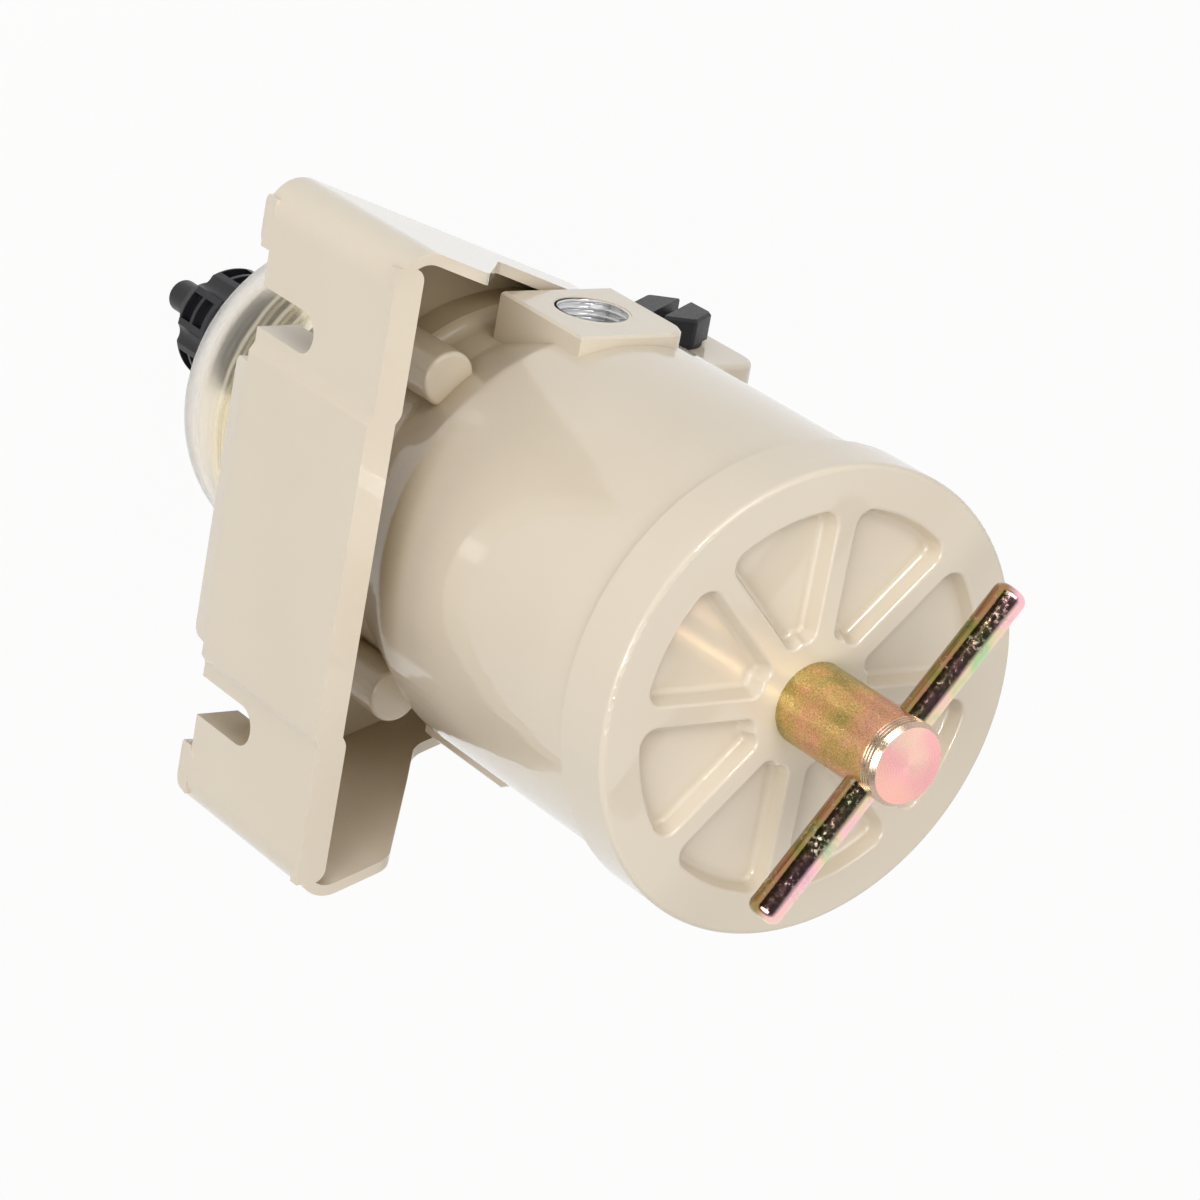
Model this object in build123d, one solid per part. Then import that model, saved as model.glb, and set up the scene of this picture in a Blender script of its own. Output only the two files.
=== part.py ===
from build123d import *
import math
import os

# All sizes are in millimetres.
# The pieces are drawn about the axis of the body, with z = 0 at the rim of the lid and +Z up.
# place() then moves each one into the part's frame: the origin lies on the wall face of the
# bracket, midway between its two slots, with +Z up, +Y into the wall and +X on the inlet side.

# Fits and clearances
running_gap = 0.05
seat_gap = 0.03
free_gap = 0.3
drill_over = 1.0
small_chamfer = 0.6
seal_corner_r = 0.5
match = 0.01

# Body casting
body_r = 50.3
body_wall = 3.5
body_bottom = -126.0
flange_step = 3.4
flange_height = 8.0
neck_height = 11.0
taper_height = 19.0
taper_in = 6.3
waist_round = 8.0
neck_foot_round = 3.0
web_top = -84.0
web_thickness = 4.0
chamber_r = 35.0
window_count = 8
window_in_r = 40.8
window_width = 4.0
window_span = 16.0
window_drop = 6.0

# Lid casting
lid_overhang = 2.2
skirt_depth = 14.5
lid_edge_round = 1.2
rim_width = 9.5
recess_depth = 4.0
lid_floor = 4.0
lid_draft = 20.0
rib_count = 8
rib_width = 4.6
hub_flats = 27.0
hub_sides = 8
pocket_outer_r = 2.4
pocket_inner_r = 1.2
pocket_floor_r = 1.5
rib_edge_round = 0.8
groove_depth = 2.0
lid_gasket_height = 3.0
lid_gasket_width = 3.8
lid_gasket_inset = 1.9

# Handle screw and its cross bar
handle_hub_r = 9.3
handle_hub_height = 32.3
handle_chamfer = 1.0
handle_shank_r = 5.0
handle_shank_length = 38.0
bar_r = 3.75
bar_length = 84.0
bar_height = 25.5
bar_turn = -36.3
bar_end_round = 2.1
handle_seal_height = 2.4
handle_seal_width = 2.4

# Standpipe in the middle of the body, and the nut in its top
collar_r = 12.0
collar_height = 8.0
standpipe_r = 8.5
standpipe_spigot_r = 7.0
standpipe_bore_r = 5.5
standpipe_top = -18.0
nut_r = 6.6
nut_flange_height = 2.0
nut_length = 20.0
standpipe_hole_r = 2.5
standpipe_hole_count = 4

# Filter element
element_top = -12.0
cap_thickness = 3.0
cap_r = 39.5
pleat_count = 36
pleat_wall = 2.0
core_r = 16.5
core_wall = 2.0
core_rows = 4
core_columns = 8
core_window_share = 0.6
cap_lip = 2.0
tab_height = 3.0
tab_length = 26.0
tab_offset = 24.0
tab_round = 2.7
element_seal_width = 3.0

# Ports
port_r = 8.65
port_depth = 14.0
port_z = -96.0
duct_r = 5.0
duct_wall = 3.5
pad_proud = 2.2
pad_half_width = 14.8
pad_above_port = 17.0
pad_below_port = 14.0
pad_corner_r = 6.0
centre_boss_depth = 28.0

# Inlet check valve
valve_x = 26.5
valve_bore_r = 5.4
valve_depth = 30.0
ball_r = 4.8
ball_seat_height = 3.0
ball_seat_hole_r = 3.0

# Screw bosses, given by their angle round the body
screw_outset = 2.1
rear_screw_angle = 42.0
front_screw_angle = -62.0
boss_r = 6.3
boss_height = 28.0
boss_round = 1.0
screw_r = 2.5
screw_depth = 8.0
screw_head_r = 4.25
screw_head_height = 5.0
socket_flats = 4.0
socket_depth = 2.6
washer_r = 5.2
washer_thickness = 1.0

# Block and plug of the spare port
block_start = 12.0
block_face_inset = 12.6
block_proud = 0.7
block_height = 29.0
block_corner_r = 6.0
block_edge_round = 1.2
block_end_round = 4.5
plug_inset = 13.2
plug_height = 9.7
plug_flats = 16.4
plug_sides = 6
plug_corner_r = 9.1
plug_turn = 32.0
plug_head_height = 6.2
plug_shank_r = 6.0
plug_shank_length = 7.0
plug_slot_width = 3.0
plug_slot_depth = 3.6
plug_seal_height = 1.2
plug_seal_width = 1.8

# Bowl, its gasket and its ring
bowl_gasket_height = 2.0
bowl_gasket_inset = 0.3
bowl_r = 39.8
bowl_wall = 3.5
bowl_flange_inset = 2.9
bowl_flange_height = 4.0
bowl_depth = 76.3
bowl_corner_r = 17.8
bowl_spout_r = 9.0
bowl_spout_height = 10.0
ring_height = 10.0
ring_lug_r = 6.8
ring_edge_round = 1.0

# Drain at the foot of the bowl
drain_bore_r = 2.4
drain_spigot_r = 5.0
drain_spigot_length = 9.0
drain_collar_r = 9.5
drain_collar_height = 5.0
drain_thread_r = 6.0
drain_thread_length = 13.0
drain_gasket_height = 1.5
drain_gasket_r = 8.5
drain_seal_height = 2.0
knob_gap = 6.0
knob_r = 14.6
knob_lobes = 6
knob_lobe_turn = 5.5
knob_scallop_r = 3.2
knob_scallop_circle_r = 16.6
knob_height = 12.8
knob_taper_height = 11.2
knob_edge_round = 0.8
knob_pocket_rows = 2
knob_pocket_height = 4.0
knob_pocket_width = 7.0
knob_pocket_depth = 2.2
knob_pocket_web = 1.2
knob_neck_r = 8.6
hose_end_r = 4.1
hose_end_length = 10.9
hose_shoulder = 2.9

# Turbine under the body
turbine_sleeve_wall = 2.0
turbine_sleeve_height = 7.0
turbine_drop = 6.0
turbine_r = 31.0
turbine_height = 18.0
turbine_shell = 1.8
vane_count = 8
vane_thickness = 1.6
vane_twist = 35.0
vane_steps = 2
vane_top_r = 26.7
skirt_tip_r = 22.0
skirt_height = 16.0
baffle_r = 28.0
baffle_thickness = 2.4
baffle_drop = 6.0
baffle_fall = 12.0
baffle_hole_r = 5.0
baffle_post_count = 4
baffle_post_r = 1.8

# Bracket
wall_to_axis = 67.3
bracket_sheet = 2.5
joggle = 1.2
joggle_half_width = 35.4
joggle_run = 1.8
bracket_top = -77.0
bracket_bottom = -125.0
bracket_corner_r = 8.0
arm_outset = 25.7
arm_slope = 0.345
arm_end = -17.0
arm_low_top = -111.5
arm_knee_y = 24.0
arm_knee_z = -101.0
arm_low_y = 16.0
arm_bend_r = 5.0
arm_tip_r = 6.0
arm_shoulder_y = 43.0
top_flange_depth = 7.0
top_flange_inset = 6.5
top_flange_end_r = 3.0
face_inset = 12.0
lip_length = 6.2
lip_tilt = 12.0
lip_corner_r = 2.5
centre_lip_half_length = 32.6
ear_lip_inset = 7.0
ear_lip_length = 11.4
slot_centre = 45.2
slot_width = 9.2
slot_bolt_z = -108.0
slot_rim_depth = 10.6
slot_rim_wall = 2.5
foot_front = -16.0
foot_back = 43.0
foot_clearance = 0.7

# Levels worked out from the sizes above
flange_top = body_bottom + flange_height
taper_end = flange_top + neck_height
taper_top = taper_end + taper_height
neck_r = body_r - taper_in
flange_r = neck_r + flange_step
screw_circle_r = flange_r + screw_outset
boss_top = body_bottom + boss_height
lid_r = body_r + lid_overhang
rim_in_r = lid_r - rim_width
lid_gasket_out_r = body_r - lid_gasket_inset
lid_gasket_in_r = lid_gasket_out_r - lid_gasket_width
lid_under = -(recess_depth + lid_floor)
body_top = lid_under + groove_depth - lid_gasket_height
web_bottom = web_top - web_thickness
body_bore_r = body_r - body_wall
collar_top = web_top + collar_height
nut_top = standpipe_top + nut_flange_height
element_bottom = web_top
core_in_r = core_r - core_wall
pad_face = body_r + pad_proud
pad_top = port_z + pad_above_port
pad_bottom = port_z - pad_below_port
port_bottom = pad_face - port_depth
centre_boss_bottom = web_top - centre_boss_depth
valve_bottom = web_top - valve_depth
block_top = body_bottom + block_height
block_face = body_r - block_face_inset
block_front = -body_r - block_proud
plug_y = block_front + plug_inset
plug_z = body_bottom + plug_height
bowl_flange_r = flange_r - bowl_flange_inset
bowl_gasket_r = bowl_flange_r - bowl_gasket_inset
bowl_top = body_bottom - bowl_gasket_height
bowl_shelf = bowl_top - bowl_flange_height
foot_bottom = body_bottom - bracket_sheet
ring_bottom = foot_bottom - ring_height + bracket_sheet
bowl_bottom = body_bottom - bowl_depth
spout_bottom = bowl_bottom - bowl_spout_height
drain_collar_top = spout_bottom - drain_gasket_height
drain_thread_top = drain_collar_top - drain_collar_height
drain_thread_end = drain_thread_top - drain_thread_length
knob_top = drain_thread_top - knob_gap
knob_bottom = knob_top - knob_height
hose_end_top = knob_bottom - knob_taper_height
turbine_top = centre_boss_bottom - turbine_drop
turbine_bottom = turbine_top - turbine_height
skirt_bottom = turbine_bottom - skirt_height
ear_face = wall_to_axis - joggle
bracket_corner_x = body_r + arm_outset
top_flange_half_length = bracket_corner_x - top_flange_inset
face_half_length = bracket_corner_x - face_inset
ear_lip_end = bracket_corner_x - ear_lip_inset
ear_lip_start = ear_lip_end - ear_lip_length
screw_spots = [
    (screw_circle_r * math.cos(math.radians(a)), screw_circle_r * math.sin(math.radians(a)))
    for a in (rear_screw_angle, 180 - rear_screw_angle, front_screw_angle, 180 - front_screw_angle)
]


def rod(radius, low, high, x=0.0, y=0.0):
    """A round bar that stands from level low to level high."""
    return Pos(x, y, low) * Cylinder(radius, high - low, align=(Align.CENTER, Align.CENTER, Align.MIN))


def rod_x(radius, start, end, y=0.0, z=0.0):
    """A round bar that lies along X from start to end."""
    bar = Cylinder(radius, end - start, align=(Align.CENTER, Align.CENTER, Align.MIN))
    return Pos(start, y, z) * Rot(0, 90, 0) * bar


def ring(outer, inner, low, high, x=0.0, y=0.0):
    """A flat ring between two levels."""
    return rod(outer, low, high, x, y) - rod(inner, low, high, x, y)


def block(x_span, y_span, z_span):
    """A box given by its limits along each axis."""
    size = [b - a for a, b in (x_span, y_span, z_span)]
    low = [a for a, b in (x_span, y_span, z_span)]
    return Pos(*low) * Box(*size, align=(Align.MIN, Align.MIN, Align.MIN))


def turned(points):
    """A solid of revolution about Z from (radius, level) points."""
    outline = Plane.XZ * make_face(Polyline(*points, close=True))
    return revolve(outline, Axis.Z)


def softened_ring(outer, inner, low, high):
    """A rubber ring of square section with rounded corners."""
    section = RectangleRounded(outer - inner, high - low, seal_corner_r)
    section = Pos((outer + inner) / 2, (low + high) / 2) * section
    return revolve(Plane.XZ * section, Axis.Z)


def both_sides(shape):
    """A shape together with its mirror image on the other side of the body."""
    return shape + mirror(shape, Plane.YZ)


def circles_at(shape, level, radius):
    """The round edges of one radius at one level."""
    return [
        edge for edge in shape.edges().filter_by(GeomType.CIRCLE)
        if math.isclose(edge.center().Z, level, abs_tol=match)
        and math.isclose(edge.radius, radius, abs_tol=match)
    ]


def place(shape):
    """Moves a piece from the body's axis to the part's frame."""
    return Pos(0, -wall_to_axis, -slot_bolt_z) * shape


# Lid and handle

def lid():
    """A ribbed disc with a skirt: the pockets leave eight drafted ribs between the hub and the rim."""
    blank = rod(lid_r, -skirt_depth, 0)
    blank = fillet(blank.edges().group_by(Axis.Z)[-1], lid_edge_round)
    for i in range(rib_count):
        blank -= Rot(0, 0, i * 360 / rib_count) * lid_pocket()
    pocket_rims = [
        edge for edge in blank.edges().group_by(Axis.Z)[-1]
        if not (edge.geom_type == GeomType.CIRCLE and edge.radius > rim_in_r + match)
    ]
    blank = fillet(pocket_rims, rib_edge_round)
    groove_top = lid_under + groove_depth
    blank -= rod(body_r + free_gap, -skirt_depth, lid_under)
    blank -= ring(lid_gasket_out_r + free_gap, lid_gasket_in_r - free_gap, lid_under, groove_top)
    blank -= rod(handle_shank_r + running_gap, lid_under, 0)
    seal_r = handle_shank_r + free_gap + handle_seal_width + free_gap
    return blank - rod(seal_r, -handle_seal_height, 0)


def lid_pocket():
    """One pocket, from its rounded floor out to its wider mouth."""
    spread = recess_depth * math.tan(math.radians(lid_draft))
    half_rib = rib_width / 2 + spread
    reach = 2 * lid_r
    hub = RegularPolygon(hub_flats / 2 + spread, hub_sides, major_radius=False, rotation=180 / hub_sides)
    plan = Circle(rim_in_r - spread) - hub
    plan -= Pos(0, half_rib - reach) * Rectangle(2 * reach, 2 * reach)
    plan -= Rot(0, 0, 360 / rib_count) * Pos(0, reach - half_rib) * Rectangle(2 * reach, 2 * reach)
    plan = fillet([v for v in plan.vertices() if math.hypot(v.X, v.Y) > hub_flats], pocket_outer_r)
    plan = fillet([v for v in plan.vertices() if math.hypot(v.X, v.Y) < hub_flats], pocket_inner_r)
    pocket = extrude(Pos(0, 0, -recess_depth) * plan, recess_depth, taper=-lid_draft)
    return fillet(pocket.edges().group_by(Axis.Z)[0], pocket_floor_r)


def lid_gasket():
    low = body_top
    return softened_ring(lid_gasket_out_r, lid_gasket_in_r, low, low + lid_gasket_height)


def handle_screw():
    hub = rod(handle_hub_r, 0, handle_hub_height)
    hub = chamfer(hub.edges().group_by(Axis.Z)[-1], handle_chamfer)
    shank = rod(handle_shank_r, -handle_shank_length, 0)
    shank = chamfer(shank.edges().group_by(Axis.Z)[0], handle_chamfer)
    return hub + shank - across_hub(Cylinder(bar_r + seat_gap, bar_length))


def across_hub(bar):
    """Lays an upright bar along the line of the cross bar."""
    return Rot(0, 0, bar_turn) * Pos(0, 0, bar_height) * Rot(0, 90, 0) * bar


def handle_bar():
    bar = Cylinder(bar_r, bar_length)
    ends = bar.edges().filter_by(GeomType.CIRCLE)
    return across_hub(fillet(ends, bar_end_round))


def handle_seal():
    inner = handle_shank_r + free_gap
    return softened_ring(inner + handle_seal_width, inner, -handle_seal_height, 0)


# Housing

def housing_shell():
    outline = turned([
        (0, body_bottom), (flange_r, body_bottom), (flange_r, flange_top), (neck_r, flange_top),
        (neck_r, taper_end), (body_r, taper_top), (body_r, body_top), (0, body_top),
    ])
    waist = circles_at(outline, taper_end, neck_r) + circles_at(outline, taper_top, body_r)
    outline = fillet(waist, waist_round)
    return fillet(circles_at(outline, flange_top, neck_r), neck_foot_round)


def housing_boss(x, y):
    boss = rod(boss_r, body_bottom, boss_top, x, y)
    return fillet(boss.edges().group_by(Axis.Z)[-1], boss_round)


def port_pad():
    pad = block((0, pad_face), (-pad_half_width, pad_half_width), (pad_bottom, pad_top))
    corner = pad.edges().filter_by(Axis.X).sort_by(Axis.Z)[-2:].sort_by(Axis.Y)[0]
    pad = fillet(corner, pad_corner_r)
    rim = pad.faces().sort_by(Axis.X)[-1].edges()
    return chamfer(rim, small_chamfer)


def plug_block():
    base = block((block_start, block_face), (block_front, 0), (body_bottom, block_top))
    corner = base.edges().filter_by(Axis.X).sort_by(Axis.Y)[:2].sort_by(Axis.Z)[-1]
    base = fillet(corner, block_corner_r)
    end = base.edges().filter_by(Axis.Z).sort_by(Axis.Y)[:2].sort_by(Axis.X)[0]
    base = fillet(end, block_end_round)
    rim = base.faces().sort_by(Axis.X)[-1].edges()
    return fillet(rim, block_edge_round)


def housing():
    shape = housing_shell()
    for x, y in screw_spots:
        shape += housing_boss(x, y)
    shape += both_sides(port_pad())
    shape += plug_block()
    shape -= rod(body_bore_r, web_top, body_top)
    shape -= rod(chamber_r, body_bottom, web_bottom)
    shape += rod(collar_r, centre_boss_bottom, collar_top)
    shape += rod_x(duct_r + duct_wall, -chamber_r - duct_wall, 0, z=port_z)
    shape += rod(valve_bore_r + duct_wall, valve_bottom, web_bottom, valve_x)
    for side in (-1, 1):
        start, end = sorted((side * port_bottom, side * pad_face))
        shape -= rod_x(port_r, start, end, z=port_z)
        start, end = sorted((0 if side < 0 else side * valve_x, side * port_bottom))
        shape -= rod_x(duct_r, start, end, z=port_z)
    shape -= rod(standpipe_spigot_r, port_z - duct_r, collar_top)
    shape -= rod(valve_bore_r, valve_bottom, port_z + duct_r, valve_x)
    shape -= web_windows()
    for x, y in screw_spots:
        shape -= rod(screw_r + seat_gap, body_bottom, body_bottom + screw_depth + drill_over, x, y)
    plug_hole_end = block_face - plug_shank_length - drill_over
    return shape - rod_x(plug_shank_r + seat_gap, plug_hole_end, block_face, plug_y, plug_z)


def web_windows():
    """Slots round the rim of the web that let the fuel rise from the chamber to the element."""
    low = web_bottom - window_drop
    out_r = window_in_r + window_width
    cut = ring(out_r, window_in_r, web_bottom, web_top)
    cut += ring(out_r, chamber_r - window_width, low, web_bottom)
    half = math.radians(window_span / 2)
    reach = 2 * body_r
    wedge = Polyline(
        (0, 0),
        (reach * math.cos(half), -reach * math.sin(half)),
        (reach * math.cos(half), reach * math.sin(half)),
        close=True,
    )
    wedge = Pos(0, 0, low) * extrude(make_face(wedge), web_top - low)
    windows = Part()
    for i in range(window_count):
        windows += Rot(0, 0, (i + 0.5) * 360 / window_count) * (cut & wedge)
    return windows


def standpipe():
    pipe = rod(standpipe_r, collar_top, standpipe_top)
    pipe += rod(standpipe_spigot_r - seat_gap, web_bottom, collar_top)
    pipe -= rod(standpipe_bore_r, web_bottom, standpipe_top)
    pipe -= rod(nut_r, nut_top - nut_length, standpipe_top)
    for i in range(standpipe_hole_count):
        hole = rod_x(standpipe_hole_r, 0, 2 * standpipe_r, z=collar_top + 3 * standpipe_hole_r)
        pipe -= Rot(0, 0, (i + 0.5) * 360 / standpipe_hole_count) * hole
    return pipe


def standpipe_nut():
    nut = rod(standpipe_r, standpipe_top, nut_top)
    nut += rod(nut_r - seat_gap, nut_top - nut_length, standpipe_top)
    return nut - rod(handle_shank_r + running_gap, nut_top - nut_length, nut_top)


# Filter element

def element_cap(low, high, bore_r):
    cap = rod(cap_r, low, high)
    return cap - rod(bore_r, low, high)


def element_top_cap():
    low = element_top - cap_thickness
    cap = element_cap(low, element_top, standpipe_r + element_seal_width)
    lip = ring(cap_r, cap_r - cap_lip, low - cap_lip, low)
    tabs = Part()
    for side in (-1, 1):
        upright = (element_top, element_top + tab_height)
        tab = block((-tab_length / 2, tab_length / 2), (0, cap_lip), upright)
        tab = fillet(tab.edges().filter_by(Axis.Y).group_by(Axis.Z)[-1], tab_round)
        tabs += Pos(0, side * tab_offset, 0) * tab
    return cap + lip + tabs


def element_bottom_cap():
    high = element_bottom + cap_thickness
    cap = element_cap(element_bottom, high, collar_r + element_seal_width)
    return cap + ring(cap_r, cap_r - cap_lip, high, high + cap_lip)


def element_media():
    """Pleated paper, folded as one star-shaped sheet between the two caps."""
    low = element_bottom + cap_thickness
    high = element_top - cap_thickness
    ridge_r = cap_r - cap_lip - free_gap
    valley_r = core_r + free_gap + pleat_wall
    outside = []
    inside = []
    for i in range(2 * pleat_count):
        angle = math.pi * i / pleat_count
        radius = valley_r if i % 2 else ridge_r
        outside.append((radius * math.cos(angle), radius * math.sin(angle)))
        inside.append(((radius - pleat_wall) * math.cos(angle), (radius - pleat_wall) * math.sin(angle)))
    sheet = make_face(Polyline(*outside, close=True)) - make_face(Polyline(*inside, close=True))
    return Pos(0, 0, low) * extrude(sheet, high - low)


def element_core():
    """The cage inside the pleats, with rows of windows."""
    low = element_bottom + cap_thickness
    high = element_top - cap_thickness
    cage = ring(core_r, core_in_r, low, high)
    pitch = (high - low) / core_rows
    window = block((0, 2 * core_r), (-core_wall, core_wall), (0, pitch * core_window_share))
    bar_share = (1 - core_window_share) / 2
    for row in range(core_rows):
        for column in range(core_columns):
            turn = (column + 0.5) * 360 / core_columns
            cage -= Rot(0, 0, turn) * Pos(0, 0, low + pitch * (row + bar_share)) * window
    return cage


def element_bottom_seal():
    inner = collar_r + seat_gap
    outer = collar_r + element_seal_width - seat_gap
    return softened_ring(outer, inner, element_bottom, element_bottom + cap_thickness)


def element_top_seal():
    inner = standpipe_r + seat_gap
    outer = standpipe_r + element_seal_width - seat_gap
    return softened_ring(outer, inner, element_top - cap_thickness, element_top)


# Check valve, turbine and baffle

def ball_seat():
    seat_top = valve_bottom + ball_seat_height
    return ring(valve_bore_r - seat_gap, ball_seat_hole_r, valve_bottom, seat_top, valve_x)


def check_ball():
    height = math.sqrt(ball_r ** 2 - ball_seat_hole_r ** 2) + free_gap
    return Pos(valve_x, 0, valve_bottom + ball_seat_height + height) * Sphere(ball_r)


def turbine():
    """A hub sleeve, a flared cone, a row of twisted vanes on the cone and a skirt below it."""
    sleeve_r = collar_r + turbine_sleeve_wall
    cone = [(sleeve_r, turbine_top), (turbine_r, turbine_bottom), (skirt_tip_r, skirt_bottom)]
    outside = turned([(0, turbine_top)] + cone + [(0, skirt_bottom)])
    hollow_top = turbine_top - 2 * turbine_shell
    hollow = turned([
        (0, hollow_top),
        (sleeve_r - turbine_shell, hollow_top),
        (turbine_r - turbine_shell, turbine_bottom),
        (skirt_tip_r - turbine_shell, skirt_bottom),
        (0, skirt_bottom),
    ])
    shape = outside - hollow
    shape += rod(sleeve_r, turbine_top, centre_boss_bottom + turbine_sleeve_height)
    shape -= rod(collar_r + seat_gap, centre_boss_bottom, centre_boss_bottom + turbine_sleeve_height)
    for i in range(vane_count):
        shape += Rot(0, 0, i * 360 / vane_count) * vane() - outside
    return shape


def vane():
    """One blade that twists as it rises along the cone and narrows to its tip."""
    sections = []
    for step in range(vane_steps + 1):
        share = step / vane_steps
        tip = turbine_r + share * (vane_top_r - turbine_r)
        level = turbine_bottom + share * turbine_height
        blade = Pos((collar_r + tip) / 2, 0) * Rectangle(tip - collar_r, vane_thickness)
        sections.append(Pos(0, 0, level) * Rot(0, 0, share * vane_twist) * blade)
    return loft(sections)


def water_baffle():
    """A shallow cone that hangs under the skirt on posts and keeps the water below it still."""
    top = skirt_bottom - baffle_drop
    rim = top - baffle_fall
    shape = turned([
        (baffle_hole_r, top),
        (baffle_r, rim),
        (baffle_r, rim - baffle_thickness),
        (baffle_hole_r, top - baffle_thickness),
    ])
    post_circle = skirt_tip_r - turbine_shell / 2
    slope = baffle_fall / (baffle_r - baffle_hole_r)
    post_foot = top - slope * (post_circle - baffle_hole_r) - baffle_thickness / 2
    for i in range(baffle_post_count):
        post = rod(baffle_post_r, post_foot, skirt_bottom, post_circle)
        shape += Rot(0, 0, (i + 0.5) * 360 / baffle_post_count) * post
    return shape


# Bowl, ring and their screws

def bowl_gasket():
    return softened_ring(bowl_gasket_r, chamber_r + free_gap, bowl_top, body_bottom)


def bowl():
    outside = turned([(0, bowl_bottom), (bowl_r, bowl_bottom), (bowl_r, bowl_top), (0, bowl_top)])
    outside = fillet(outside.edges().group_by(Axis.Z)[0], bowl_corner_r)
    inside = turned([
        (0, bowl_bottom + bowl_wall), (bowl_r - bowl_wall, bowl_bottom + bowl_wall),
        (bowl_r - bowl_wall, bowl_top), (0, bowl_top),
    ])
    inside = fillet(inside.edges().group_by(Axis.Z)[0], bowl_corner_r - bowl_wall)
    shape = outside - inside + ring(bowl_flange_r, bowl_r - bowl_wall, bowl_shelf, bowl_top)
    shape += rod(bowl_spout_r, spout_bottom, bowl_bottom + bowl_wall)
    return shape - rod(drain_spigot_r, spout_bottom, bowl_bottom + bowl_wall)


def bowl_ring():
    top = body_bottom - free_gap
    shape = fillet(rod(flange_r, ring_bottom, top).edges().group_by(Axis.Z)[0], ring_edge_round)
    for x, y in screw_spots:
        lug = rod(ring_lug_r, ring_bottom, top, x, y)
        shape += fillet(lug.edges().group_by(Axis.Z)[0], ring_edge_round)
    shape -= rod(bowl_r + free_gap, ring_bottom, top)
    shape -= rod(bowl_flange_r + free_gap, bowl_shelf, top)
    shape -= both_sides(foot_plate(free_gap))
    for x, y in screw_spots:
        shape -= rod(screw_r + free_gap, ring_bottom, top, x, y)
    return shape


def ring_screw(x, y):
    head_top = ring_bottom - washer_thickness
    head_low = head_top - screw_head_height
    screw = rod(screw_head_r, head_low, head_top, x, y)
    screw = chamfer(screw.edges().group_by(Axis.Z)[0], small_chamfer)
    screw += rod(screw_r, head_top, body_bottom + screw_depth, x, y)
    socket = RegularPolygon(socket_flats / 2, 6, major_radius=False)
    return screw - Pos(x, y, head_low) * extrude(socket, socket_depth)


def ring_screws():
    return Compound([ring_screw(x, y) for x, y in screw_spots])


def ring_washers():
    low = ring_bottom - washer_thickness
    return Compound([ring(washer_r, screw_r + free_gap, low, ring_bottom, x, y) for x, y in screw_spots])


# Spare port plug

def port_plug():
    """A hexagonal head with rounded corners and a wide slot, on a round shank."""
    seat = block_face + plug_seal_height
    slot = Box(plug_slot_depth, 2 * plug_flats, plug_slot_width)
    hexagon = Plane.YZ * RegularPolygon(plug_flats / 2, plug_sides, major_radius=False)
    head = extrude(hexagon, plug_head_height) & rod_x(plug_corner_r, 0, plug_head_height)
    head = chamfer(head.edges().group_by(Axis.X)[-1], small_chamfer)
    head -= Pos(plug_head_height - plug_slot_depth / 2, 0, 0) * slot
    plug = Pos(seat, plug_y, plug_z) * Rot(plug_turn, 0, 0) * head
    return plug + rod_x(plug_shank_r, block_face - plug_shank_length, seat, plug_y, plug_z)


def plug_seal():
    inner = plug_shank_r + free_gap
    washer = ring(inner + plug_seal_width, inner, 0, plug_seal_height)
    return Pos(block_face, plug_y, plug_z) * Rot(0, 90, 0) * washer


# Drain

def drain_gasket():
    return ring(drain_gasket_r, drain_spigot_r + free_gap, drain_collar_top, spout_bottom)


def drain_body():
    collar = rod(drain_collar_r, drain_thread_top, drain_collar_top)
    collar = chamfer(collar.edges().filter_by(GeomType.CIRCLE), small_chamfer)
    shape = collar + rod(drain_spigot_r - seat_gap, drain_collar_top, spout_bottom + drain_spigot_length)
    shape += rod(drain_thread_r, drain_thread_end, drain_thread_top)
    return shape - rod(drain_bore_r, drain_thread_end, spout_bottom + drain_spigot_length)


def drain_seal():
    low = drain_thread_end - drain_seal_height
    return ring(drain_thread_r - free_gap, drain_bore_r + free_gap, low, drain_thread_end)


def knob_pockets():
    """The pockets of one lobe, one above the other."""
    half_width = knob_pocket_width / 2
    pockets = Part()
    for row in range(knob_pocket_rows):
        low = knob_bottom + knob_pocket_web + row * (knob_pocket_height + knob_pocket_web)
        upright = (low, low + knob_pocket_height)
        pockets += block((knob_r - knob_pocket_depth, 2 * knob_r), (-half_width, half_width), upright)
    return pockets


def drain_knob():
    """A lobed grip with cored pockets in each lobe, then a neck that narrows to the hose end."""
    shape = rod(knob_r, knob_bottom, knob_top)
    shape = fillet(shape.edges().filter_by(GeomType.CIRCLE), knob_edge_round)
    scallop = rod(knob_scallop_r, knob_bottom, knob_top, knob_scallop_circle_r)
    pockets = knob_pockets()
    for i in range(knob_lobes):
        shape -= Rot(0, 0, knob_lobe_turn + (i + 0.5) * 360 / knob_lobes) * scallop
        shape -= Rot(0, 0, knob_lobe_turn + i * 360 / knob_lobes) * pockets
    shoulder_r = hose_end_r + hose_shoulder
    neck = turned([
        (0, hose_end_top), (shoulder_r, hose_end_top), (knob_neck_r, knob_bottom), (0, knob_bottom),
    ])
    tip = rod(hose_end_r, hose_end_top - hose_end_length, hose_end_top)
    tip = chamfer(tip.edges().group_by(Axis.Z)[0], small_chamfer)
    shape += neck + tip
    shape -= rod(drain_thread_r + running_gap, drain_thread_end - drain_seal_height, knob_top)
    return shape - rod(drain_bore_r, hose_end_top - hose_end_length, knob_top)


# Bracket

def arm_x(y, inset=0.0):
    """The arm's outer face at a given y, or a face that lies inset inside it."""
    lean = math.sqrt(1 + arm_slope ** 2)
    return bracket_corner_x - arm_slope * (ear_face - y) - inset * lean


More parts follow.
